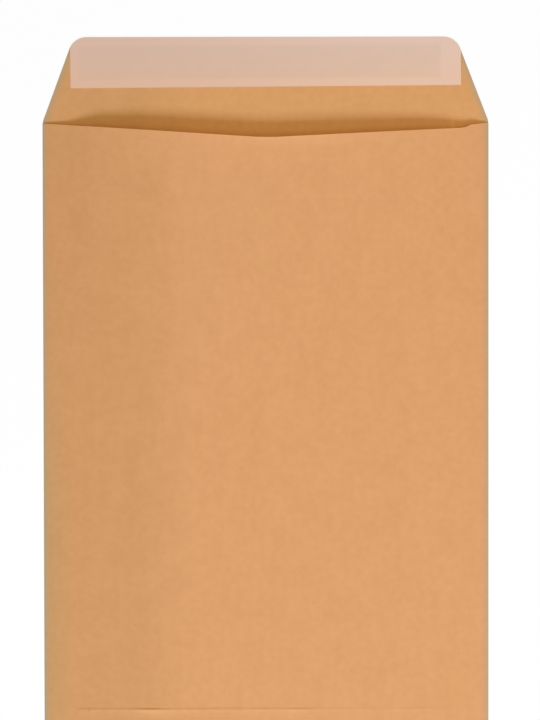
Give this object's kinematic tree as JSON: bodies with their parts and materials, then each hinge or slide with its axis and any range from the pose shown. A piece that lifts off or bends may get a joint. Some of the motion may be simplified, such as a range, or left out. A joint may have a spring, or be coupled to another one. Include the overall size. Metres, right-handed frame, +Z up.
{
  "type": "paper envelope",
  "caption": "Pocket envelope in brown kraft paper, folded from one sheet, with an open closing flap that carries a peel-off release liner over an adhesive band.",
  "frame": {"origin": "on the surface that the envelope lies on, below the middle of the opened envelope's bounding box", "axes": "+X across the width, to the right as seen from above with the flap at the top; +Y from the bottom fold to the closing flap; +Z up, out of the back panel"},
  "size_m": [0.229, 0.3668, 0.0069],
  "materials": {
    "kraft_paper": "matt brown kraft",
    "adhesive": "dull pressure-sensitive film",
    "liner_paper": "satin silicone-coated paper, slightly translucent"
  },
  "bodies": {
    "root": {"folded_sheet": "kraft_paper", "adhesive_band": "adhesive", "release_liner": "liner_paper"}
  },
  "joints": []
}
